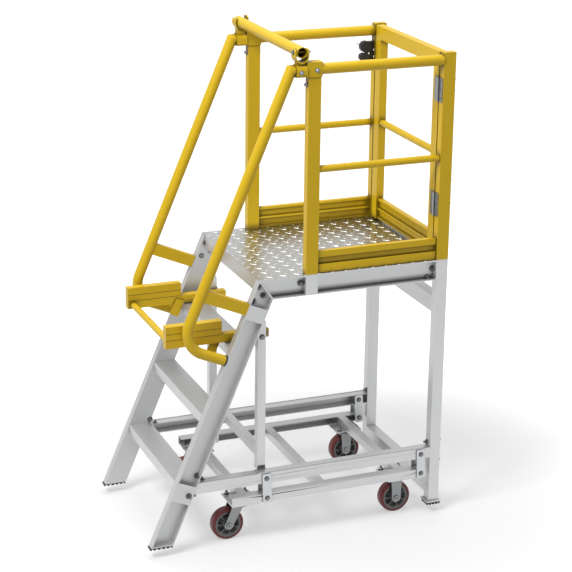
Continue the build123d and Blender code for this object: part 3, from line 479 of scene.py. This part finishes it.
core_grey = enamel(
    "moulded_grey_core", (0.17, 0.175, 0.175), 0.42, 500.0, drift=0.15, bump=0.3, reach=0.02, floor=0.12
)
tyre_red = enamel("red_polyurethane", (0.17, 0.014, 0.017), 0.42, peel=350.0, drift=0.12, bump=0.2)

SLOTS = {
    "aluminium": along_x,
    "yellow_paint": yellow,
    "foot_rubber": rubber,
    "hinge_steel": zinc,
    "link_steel": link_steel,
    "fork_steel": fork_steel,
    "latch_black": latch_black,
    "wheel_grey": core_grey,
    "tyre_red": tyre_red,
}
GRAIN_OF = {
    "stile_right": stile_z,
    "stile_left": stile_z,
    "rear_frame": along_z,
    "front_post_frame": along_z,
    "tread_1": along_y,
    "tread_2": along_y,
    "tread_3": along_y,
    "deck_plate": plate_metal,
    "deck_frame": beam_shaded_along_x,
}
# Widths in metres of the rounding on sharp edges, by material slot
EDGE_WIDTHS = {
    "aluminium": 0.0009,
    "yellow_paint": 0.0008,
    "link_steel": 0.0008,
    "fork_steel": 0.0012,
    "latch_black": 0.002,
}
SMOOTH_DEGREES = 28.0
for part in frame["record"]["subparts"]:
    thing = nodes[part["node"]]
    finish = GRAIN_OF.get(part["node"], SLOTS[part["material_slot"]])
    if not thing.material_slots:
        thing.data.materials.append(finish)
    for used in thing.material_slots:
        used.material = finish
    soften(thing, SMOOTH_DEGREES)
    if part["material_slot"] in EDGE_WIDTHS:
        round_edges(thing, EDGE_WIDTHS[part["material_slot"]])

# Tread plate

# How far a bar sinks into the plate, in metres, and how far past its edges a bar may be centred, in
# millimetres
BAR_SUNK, BAR_OVER = 0.0002, 8.0


def tread_bars(xs, ys, turn, length=0.038, width=0.0105, height=0.0022):
    """Raised bars on the deck: for u along and v across in -1 to 1 and w = sqrt(1 - u^2), the half width is
    width / 2 w and the height is height (1 - v^2) min(1, 1.6 w), less a little to sink it in the plate. The
    bars are turned about Z and cut off square at the plate's edges."""
    u = np.sin(np.linspace(-math.pi / 2, math.pi / 2, 9))
    v = np.linspace(-1.0, 1.0, 5)
    uu, vv = np.meshgrid(u, v, indexing="ij")
    lens = np.sqrt(np.clip(1 - uu**2, 0, 1))
    a, b = length / 2 * uu, width / 2 * vv * lens
    high = height * (1 - vv**2) * np.minimum(1.0, 1.6 * lens) - BAR_SUNK
    c, s = math.cos(turn), math.sin(turn)
    shape = np.stack([a * c - b * s, a * s + b * c, high], -1)
    cx, cy = np.meshgrid(xs, ys, indexing="ij")
    centres = np.stack([cx.ravel(), cy.ravel()], -1)
    near_x = (centres[:, 0] > -DECK_L - BAR_OVER) & (centres[:, 0] < BAR_OVER)
    centres = centres[near_x & (np.abs(centres[:, 1]) < HALF_W + BAR_OVER)]
    top = place(0, 0, DECK_H)[2]
    base = np.stack([(centres[:, 0] + REAR_X) / 1000, centres[:, 1] / 1000, np.full(len(centres), top)], -1)
    points = base[:, None, None, :] + shape[None]
    points[..., 0] = np.clip(points[..., 0], (REAR_X - DECK_L) / 1000, REAR_X / 1000)
    points[..., 1] = np.clip(points[..., 1], -HALF_W / 1000, HALF_W / 1000)
    one = grid_faces(len(u), len(v))
    count = u.size * v.size
    faces = (one[None] + (np.arange(len(centres)) * count)[:, None, None]).reshape(-1, 4)
    return points.reshape(-1, 3), faces


PITCH = 65.0
first_x, first_y = -861.5, -352.0
steps_x, steps_y = np.arange(-1, 15), np.arange(-1, 13)
bars_a = tread_bars(first_x + PITCH * steps_x, first_y + PITCH * steps_y, -math.pi / 4)
bars_b = tread_bars(first_x + PITCH * (steps_x + 0.5), first_y + PITCH * (steps_y - 0.5), math.pi / 4)
piece("tread_plate_bars", [bars_a, bars_b], "frame", bar_highlight_and_screw_metal, 50.0)

# Bolts

WASHER_T = 0.0014


def hex_bolt(centre, axis, flat=0.016, head=0.0065, washer=0.026, twist=0.3):
    """A hexagon head with a rounded top on a plain washer, standing on centre along the axis."""
    half = flat / 2
    top = WASHER_T + head
    sides = [(half, WASHER_T), (half, WASHER_T + head * 0.82), (half * 0.86, top), (0.0, top)]
    ring = [(washer / 2, 0.0), (washer / 2, 0.0012), (washer / 2 - 0.0004, 0.0016), (0.0, 0.0016)]
    return [lathe(ring, centre, axis, 24), lathe(sides, centre, axis, 24, corners=6, twist=twist)]


def nut_end(centre, axis, flat=0.018, high=0.009, stud=0.006, tip=0.005):
    """A washer, a hexagon nut and the stud's end, which stands tip beyond the nut, along the axis."""
    end = [(stud, high), (stud, high + tip - 0.001), (stud * 0.8, high + tip), (0.0, high + tip)]
    return hex_bolt(centre, axis, flat, high - WASHER_T, flat * 1.55) + [lathe(end, centre, axis, 16)]


BEAM_BOLTS = [(-709, 1175), (-61, 1170), (-54, 1131), (-87, 1131)]
STILE_BOLTS = [(-910, 1178), (-885, 1136), (-931, 1116), (-1196, 318)]
INSERT_X, INSERT_H = -1247, 241
LEVER_PIN_X, LEVER_PIN_Y, LEVER_PIN_H = -886.0, 343.2, 939.4
KEEPER_X, KEEPER_Y, KEEPER_H = LEVER_PIN_X + 26, 334.0, LEVER_PIN_H + 12
RAIL_TOP_H, RAIL_LOW_H = 294.8, 244.0
TOP_NUT_X, TOP_NUT_Y, LOW_NUT_X, LOW_NUT_Y = -1170, 345.0, -1213, 365.0
LEG_BOLT_X, LEG_BOLT_Y, LEG_BOLT_H = -52, 347.0, 311
BACK_BOLT_Y, BACK_BOLT_HS = 366.0, (324, 222)
GUARD_Y = 364.0
HINGE_NUT_HS = (1477, 1583, 1993, 2046)
WEB_OUT_Y, CHANNEL_OUT_Y = 348.0, 383.0
frame_bolts = []
for sg in (-1, 1):
    for x, h in BEAM_BOLTS:
        frame_bolts += nut_end(place(x, WEB_OUT_Y * sg, h), Y * sg, flat=0.019, tip=0.008)
        frame_bolts += nut_end(place(x, WEB_Y * sg, h), -Y * sg, flat=0.015)
    for x, h in STILE_BOLTS:
        frame_bolts += nut_end(place(x, WEB_OUT_Y * sg, h), Y * sg, flat=0.019, tip=0.018)
        frame_bolts += hex_bolt(place(x, WEB_Y * sg, h), -Y * sg, flat=0.015)
    insert_at = place(INSERT_X, CHANNEL_OUT_Y * sg, INSERT_H)
    frame_bolts += nut_end(insert_at, Y * sg, flat=0.019, tip=0.016)
    frame_bolts += hex_bolt(place(LEVER_PIN_X, LEVER_PIN_Y * sg, LEVER_PIN_H), Y * sg, flat=0.017)
    frame_bolts += hex_bolt(place(KEEPER_X, KEEPER_Y * sg, KEEPER_H), Y * sg, flat=0.011, washer=0.014)
    frame_bolts += nut_end(place(TOP_NUT_X, TOP_NUT_Y * sg, RAIL_TOP_H), Z, flat=0.015, high=0.008)
    under_rail = place(LOW_NUT_X, LOW_NUT_Y * sg, RAIL_LOW_H)
    frame_bolts += nut_end(under_rail, -Z, flat=0.015, high=0.010, tip=0.008)
    frame_bolts += nut_end(place(LEG_BOLT_X, LEG_BOLT_Y * sg, LEG_BOLT_H), -X, flat=0.016, tip=0.008)
    for h in BACK_BOLT_HS:
        frame_bolts += hex_bolt(place(0, BACK_BOLT_Y * sg, h), X, flat=0.015, washer=0.022)
for h in HINGE_NUT_HS:
    frame_bolts += nut_end(place(0, -GUARD_Y, h), X, flat=0.010, high=0.006, stud=0.003)
piece("frame_bolts", frame_bolts, "frame", dark_zinc)

CAP_OUT_Y, CAP_H = 387.0, 2133
TEE_OUT_Y, TEE_H = 392.6, 2127
GUARD_POST_FRONT, GUARD_POST_BACK, GUARD_BOLT_H = -697.2, -639, 2069
SMALL_HEAD = {"flat": 0.013, "washer": 0.02, "head": 0.005}
rail_bolts = []
for sg, cap_x, tee_x in ((-1, -660, -735), (1, -669, -743)):
    rail_bolts += hex_bolt(place(cap_x, CAP_OUT_Y * sg, CAP_H), Y * sg, **SMALL_HEAD)
    rail_bolts += hex_bolt(place(tee_x, TEE_OUT_Y * sg, TEE_H), Y * sg, **SMALL_HEAD)
    rail_bolts += nut_end(place(GUARD_POST_FRONT, GUARD_Y * sg, GUARD_BOLT_H), -X, flat=0.014, high=0.009)
    rail_bolts += hex_bolt(place(GUARD_POST_BACK, GUARD_Y * sg, GUARD_BOLT_H), X, **SMALL_HEAD)
SADDLE_X, SADDLE_HALF, BAR_H = -731.0, 32.2, 2212.2
saddle_front = place(SADDLE_X - SADDLE_HALF, -GUARD_Y, BAR_H)
rail_bolts += hex_bolt(saddle_front, -X, flat=0.016, washer=0.022, head=0.006)
rail_bolts += nut_end(place(SADDLE_X + SADDLE_HALF, -GUARD_Y, BAR_H), X, flat=0.016, high=0.009)
piece("guard_rail_bolts", rail_bolts, "frame", clamp_zinc)

# Pin heads on the lift links and nuts on the caster plates
UP_PIN_H, LOW_PIN_H, LOW_PIN_STEP = 269.4, 172.46, 3.39
LINK_OUT_Y, LINK_IN_Y = 389.2, 326.8
for name, pin_x in (("front", -875.0), ("rear", -101.0)):
    heads = []
    for sg in (-1, 1):
        for x, h in ((pin_x, UP_PIN_H), (pin_x + LOW_PIN_STEP, LOW_PIN_H)):
            heads += hex_bolt(place(x, LINK_OUT_Y * sg, h), Y * sg, flat=0.017, washer=0.024, head=0.0045)
            heads += hex_bolt(place(x, LINK_IN_Y * sg, h), -Y * sg, flat=0.017, washer=0.025, head=0.0075)
    piece(name + "_link_pin_heads", heads, name + "_links", dark_zinc)

KING_X, RIGID_X, PLATE_TOP_H = -973.0, -194.0, 153.46
PLATE_HOLE_X, PLATE_HOLE_YS = 45.0, (246.0, 356.0)
caster_nuts = []
for mid_x in (KING_X, RIGID_X):
    for sg in (-1, 1):
        for x in (mid_x - PLATE_HOLE_X, mid_x + PLATE_HOLE_X):
            for y in PLATE_HOLE_YS:
                caster_nuts += nut_end(place(x, y * sg, PLATE_TOP_H), Z, flat=0.017, high=0.010, tip=0.009)
piece("caster_plate_nuts", caster_nuts, "caster_frame", dark_zinc)

# Latch and hinge screws, bands, rail trim, and dark strips of painted shade in grooves
LATCH_SCREWS, LATCH_FACE_Y = ((-59, 2044), (-86, 2028), (-59, 2011)), 351
latch_screws = []
for x, h in LATCH_SCREWS:
    ring = [(0.0048, 0.0), (0.0048, 0.0012), (0.0036, 0.0022), (0.0, 0.0024)]
    latch_screws.append(lathe(ring, place(x, LATCH_FACE_Y, h), -Y, 20))
piece("latch_screws", latch_screws, "frame", bar_highlight_and_screw_metal)
WIRE_PLACES, WIRE_Y, WIRE_R = ((-118, 2064), (-128, 2069), (-138, 2073), (-147, 2079)), 358, 0.0017
wire = carried(round_section(WIRE_R, 8), [place(x, WIRE_Y, h) for x, h in WIRE_PLACES])
piece("latch_release_wire", [wire], "frame", latch_black)

HINGE_LOW_HS, HINGE_SCREW_UPS, HINGE_FACE_X = (1422.2, 1945.2), (16.0, 53.5, 91.0), -61.0
for name, body, y in (("hinge_post_screws", "frame", -362.0), ("hinge_gate_screws", "gate", -320.0)):
    screws = []
    for low_h in HINGE_LOW_HS:
        for up_by in HINGE_SCREW_UPS:
            ring = [(0.0042, 0.0), (0.0042, 0.0007), (0.0030, 0.0013), (0.0, 0.0015)]
            screws.append(lathe(ring, place(HINGE_FACE_X, y, low_h + up_by), -X, 18))
    piece(name, screws, body, dark_zinc)

POST_FRONT_X, POST_BACK_X, POST_FACE_Y = -905.0, -867.0, 343.0
BAND_SUNK, BAND_PROUD, BAND_HS = 0.3, 1.6, ((304.5, 318.0), (295.2, 301.5))
# The bead and the dark strip below it, a painted shade line for the groove between them, run along each
# side rail from their own front end over these places
RAIL_XS = (-900.0, -600.0, -300.0, -54.0)
BEAD_FRONT_X, BEAD_Y, BEAD_H = -1190.0, 381.4, RAIL_TOP_H - 0.2
SHADE_LINE_FRONT_X, SHADE_LINE_Y, SHADE_LINE_H = -1184.0, 376.2, RAIL_TOP_H - 0.9
bands, rail_trim, rail_shade = [], [], []
for sg in (-1, 1):
    for low_h, high_h in BAND_HS:
        near, far = sorted(((POST_FACE_Y - BAND_SUNK) * sg, (POST_FACE_Y + BAND_PROUD) * sg))
        bands.append(soft_box(place(POST_FRONT_X, near, low_h), place(POST_BACK_X, far, high_h), 0.0007))
    bead = [place(x, BEAD_Y * sg, BEAD_H) for x in (BEAD_FRONT_X, *RAIL_XS)]
    rail_trim.append(carried(round_section(0.0020, 10), bead))
    shade_line = [place(x, SHADE_LINE_Y * sg, SHADE_LINE_H) for x in (SHADE_LINE_FRONT_X, *RAIL_XS)]
    rail_shade.append(carried(round_section(0.0019, 8), shade_line))
piece("post_foot_bands", bands, "frame", band_grey)
piece("side_rail_beads", rail_trim, "frame", along_x)
piece("side_rail_groove_shades", rail_shade, "frame", dark_zinc)

# Dark olive strips along the grip blocks' grooves: painted shade in the grooves
BLOCK_H, BLOCK_L = 63.0, 260.0
ARM_H, ARM_Y, ARM_OUT_Y, ARM_FRONT = 38.0, 38.0, 300.0, -1320.0
SHADE_LINE_SHARES = (0.004, 0.35, 0.7, 0.996)
block_groove_shades = []
for sg in (-1, 1):
    for shade_h in (LEVER_PIN_H + ARM_H / 2, LEVER_PIN_H + ARM_H / 2 + BLOCK_H * 0.45):
        for face_y in (ARM_OUT_Y, ARM_OUT_Y - ARM_Y):
            run = [place(ARM_FRONT + share * BLOCK_L, face_y * sg, shade_h) for share in SHADE_LINE_SHARES]
            block_groove_shades.append(carried(round_section(0.0009, 8), run))
piece("grip_block_groove_shades", block_groove_shades, "lever", groove_shade_olive)

# The toe boards' lower lips, which stand up to a narrow recess on the outer side
LIP_LOW, LIP_TOP, LIP_PROUD, RECESS_DEEP = 0.001, 0.042, 0.0003, 0.009
for node, face, sg, body in (
    ("toe_board_right", 1, -1, "frame"),
    ("toe_board_left", 1, 1, "frame"),
    ("gate_toe_board", 0, 1, "gate"),
):
    board = nodes[node]
    corners = np.array([board.matrix_world @ Vector(corner) for corner in board.bound_box])
    low, high = corners.min(0), corners.max(0)
    low[2], high[2] = low[2] + LIP_LOW, low[2] + LIP_TOP
    outer = high[face] if sg > 0 else low[face]
    low[face], high[face] = sorted((outer - sg * RECESS_DEEP, outer + sg * LIP_PROUD))
    piece(node + "_lower_lip", [soft_box(low, high, 0.0008)], body, yellow)

# How far down the stile from the deck the handrail ends
HANDRAIL_END_DOWN = 392.5
# Dark rings round the handrails' lower ends at the stiles: painted shade for the gap where each tube meets
# its stile
end_shade_rings = []
for sg in (-1, 1):
    end = on_stile(DECK_H / math.sin(SLOPE) - HANDRAIL_END_DOWN, 0.4, GUARD_Y * sg)
    ring = [(0.0205, 0.0), (0.0248, 0.0), (0.0248, 0.008), (0.0205, 0.008)]
    end_shade_rings.append(lathe(ring + ring[:1], end, OUT_SLOPE, 40))
piece("handrail_end_shade_rings", end_shade_rings, "frame", latch_black)

# Wheels

WHEEL_Y, FRONT_AXLE_X = 296.6, -1036.0
CASTERS = (
    # name, axle x, y, body of the fork
    ("front_right", FRONT_AXLE_X, -WHEEL_Y, "front_right_swivel"),
    ("front_left", FRONT_AXLE_X, WHEEL_Y, "front_left_swivel"),
    ("rear_right", RIGID_X, -WHEEL_Y, "caster_frame"),
    ("rear_left", RIGID_X, WHEEL_Y, "caster_frame"),
)
AXLE_H = 36.2
# In metres: the fork's outer face from the wheel's middle, the core's face and rim, and the face's height
FORK_OUT, FACE_R, CORE_R, FACE_HIGH = 0.0350, 0.0605, 0.0622, 0.0228
POCKET_DEEP, HOLLOW_DEEP, COLLAR_HIGH = 0.012, 0.0035, 0.0025
POCKET_FROM, POCKET_TO = 0.022, 0.052
TYRE_HALF_W, TYRE_R = 0.025, 0.0762


def pocketed_face(centre, axis, radius=FACE_R, bore=0.013, spokes=7):
    """One face of the wheel core: over radius r and angle a, the height is the face's less the pocket depth
    times ring(r) pocket(a) and the hollow depth times ring(r), where ring is one between hub and rim and
    pocket is one between spokes, plus a low collar round the bore."""
    side, up, axis = basis(axis)
    r = np.linspace(bore, radius, 22)
    a = np.arange(112) * 2 * math.pi / 112
    rr, aa = np.meshgrid(r, a, indexing="ij")
    t = (rr - POCKET_FROM) / (POCKET_TO - POCKET_FROM)
    ring = np.clip(1.35 - np.abs(2 * t - 1) * 1.35, 0, 1) ** 0.6 * ((t > 0) & (t < 1))
    arm = np.abs(((aa * spokes / (2 * math.pi)) % 1.0) - 0.5) * 2
    pocket = np.clip((arm - 0.18) * 7.0, 0, 1)
    high = FACE_HIGH - POCKET_DEEP * ring * pocket - HOLLOW_DEEP * ring
    high = high + COLLAR_HIGH * np.clip(1 - (rr - bore) / 0.008, 0, 1)
    ring_at = np.cos(aa)[..., None] * side + np.sin(aa)[..., None] * up
    points = centre + rr[..., None] * ring_at + high[..., None] * axis
    return points.reshape(-1, 3), grid_faces(len(r), len(a), wrap_cols=True)[:, ::-1]


def tyre_ring(centre):
    """The tyre turned about its axle from a profile of a slightly crowned tread with rounded shoulders."""
    steps = ((CORE_R, 0.003), (0.064, 0.0006), (0.067, 0.0), (0.0712, 0.001), (0.0742, 0.0045))
    profile = [(radius, -TYRE_HALF_W + inset) for radius, inset in steps]
    crown = [(TYRE_R - 0.0005 * (k / 3.0) ** 2, k * 0.0054) for k in range(-3, 4)]
    back = [(a, -b) for a, b in profile[::-1]]
    return lathe(profile + crown + back + [profile[0]], centre, Y, 72)


for name, x, y, fork_body in CASTERS:
    axle = place(x, y, AXLE_H)
    core = [pocketed_face(axle, Y), pocketed_face(axle, -Y)]
    core.append(lathe([(CORE_R, -0.023), (FACE_R, -FACE_HIGH)], axle, Y, 72))
    core.append(lathe([(FACE_R, FACE_HIGH), (CORE_R, 0.023)], axle, Y, 72))
    made = piece("wheel_core_moulding_" + name, core, "wheel_" + name, core_grey, 40.0)
    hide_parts("wheel_core_" + name)
    made = piece("wheel_tyre_band_" + name, [tyre_ring(axle)], "wheel_" + name, tyre_red, 60.0)
    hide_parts("wheel_tyre_" + name)
    # Each axle end is a cap with a black disc sunk in it, a painted shade for the hole's dark inside
    ends, heads = [], []
    for sg in (-1, 1):
        cap = [(0.0125, 0.0), (0.0125, 0.0042), (0.0115, 0.0052), (0.0036, 0.0052), (0.0036, 0.0044)]
        ends.append(lathe(cap, axle + Y * sg * FORK_OUT, Y * sg, 36))
        heads.append(lathe([(0.0036, 0.0044), (0.0, 0.0044)], axle + Y * sg * FORK_OUT, Y * sg, 18))
    piece("axle_end_" + name, ends, fork_body, fork_steel)
    piece("axle_hole_shade_" + name, heads, fork_body, latch_black)

# Stage, light and camera


def seen_ray(tree):
    """The light path's outputs, and one where the camera or glass looks."""
    ray = tree.nodes.new("ShaderNodeLightPath").outputs
    return ray, math_of(tree, "MAXIMUM", ray["Is Camera Ray"], ray["Is Transmission Ray"])


def camera_ray_white(name, base, strength, mirrored, reach):
    """A floor that adds white where the camera or glass looks at it, from the strength at reach[0] to one
    at reach[1], and the mirrored strength where a reflection does."""
    made, tree, shader = new_material(name)
    ray, seen = seen_ray(tree)
    away = tree.nodes.new("ShaderNodeVectorMath")
    away.operation = "LENGTH"
    fill(tree, away, ((0, object_place(tree)),))
    spread = ramp(tree, away.outputs["Value"], *reach, strength, smooth=True)
    straight = math_of(tree, "MULTIPLY", seen, spread)
    power = math_of(tree, "MULTIPLY_ADD", ray["Is Glossy Ray"], mirrored, straight)
    looks = (
        ("Base Color", (*base, 1.0)),
        ("Roughness", 0.9),
        ("Specular IOR Level", 0.1),
        ("Emission Color", (1, 1, 1, 1)),
        ("Emission Strength", power),
    )
    fill(tree, shader, looks)
    return made


floor_mesh = bpy.data.meshes.new("studio_floor")
edge = 60.0
corners = [(-edge, -edge, 0), (edge, -edge, 0), (edge, edge, 0), (-edge, edge, 0)]
floor_mesh.from_pydata(corners, [], [(0, 1, 2, 3)])
floor = bpy.data.objects.new("studio_floor", floor_mesh)
floor_mesh.materials.append(camera_ray_white("pale_floor", (0.53, 0.53, 0.53), 0.48, 0.75, (1.1, 2.6)))
bpy.context.scene.collection.objects.link(floor)
floor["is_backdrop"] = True


def soft_light(name, place_at, aim, size, power):
    """A square area lamp of that size in metres, aimed at a point."""
    data = bpy.data.lights.new(name, "AREA")
    data.size = size
    data.energy = power
    lamp = bpy.data.objects.new(name, data)
    bpy.context.scene.collection.objects.link(lamp)
    side, up, back = basis(np.array(place_at) - np.array(aim))
    turn = Matrix(np.array([side, up, back]).T.tolist()).to_4x4()
    lamp.matrix_world = Matrix.Translation(place_at) @ turn
    return lamp


soft_light("key_softbox", (-3.9, -2.0, 6.3), (0, 0, 0.9), 2.4, 330)
soft_light("overhead_softbox", (0.5, 0.8, 6.5), (0, 0, 0.8), 3.0, 125)
soft_light("side_softbox", (5.0, -3.5, 3.0), (0, 0, 1.0), 3.0, 40)

world = bpy.data.worlds.new("white_studio")
bpy.context.scene.world = world
world.use_nodes = True
air = world.node_tree
DIFFUSE_WHITE, SKY_LOW, SKY_HIGH, SKY_TOP = 0.24, 0.48, 0.82, 0.75
ray, seen = seen_ray(air)
level = ramp(air, seen, 0.0, 1.0, DIFFUSE_WHITE)
heading = air.nodes.new("ShaderNodeTexCoord").outputs["Generated"]
height = fill(air, air.nodes.new("ShaderNodeSeparateXYZ"), ((0, heading),)).outputs["Z"]
sky = ramp(air, height, 0.0, SKY_TOP, SKY_LOW, SKY_HIGH)
brightness = math_of(air, "MULTIPLY_ADD", ray["Is Glossy Ray"], sky, level)
fill(air, air.nodes["Background"], (("Color", (1, 1, 1, 1)), ("Strength", brightness)))

# The camera, from a fit of the object's corners to the photograph
AZIMUTH, ELEVATION, ROLL = math.radians(-21.982), math.radians(18.744), math.radians(-0.693)
back = np.array(
    [math.sin(AZIMUTH) * math.cos(ELEVATION), -math.cos(AZIMUTH) * math.cos(ELEVATION), math.sin(ELEVATION)]
)
right = np.cross(Z, back)
right /= np.linalg.norm(right)
up = np.cross(back, right)
cam_x = math.cos(ROLL) * right - math.sin(ROLL) * up
cam_y = math.sin(ROLL) * right + math.cos(ROLL) * up
AIM, DISTANCE = np.array([0.0722, 0.0, 1.0799]), 8.3951
FOCAL_PX, PICTURE_PX, SENSOR_MM = 1812.8, 572.0, 36.0
eye = AIM + DISTANCE * back
lens = bpy.data.cameras.new("photo_camera")
lens.sensor_width = SENSOR_MM
lens.lens = FOCAL_PX / PICTURE_PX * SENSOR_MM
lens.clip_end = 200.0
camera = bpy.data.objects.new("photo_camera", lens)
bpy.context.scene.collection.objects.link(camera)
turn = Matrix(np.array([cam_x, cam_y, back]).T.tolist()).to_4x4()
camera.matrix_world = Matrix.Translation(eye.tolist()) @ turn
bpy.context.scene.camera = camera
bpy.context.scene.view_settings.view_transform = "Standard"

low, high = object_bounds()
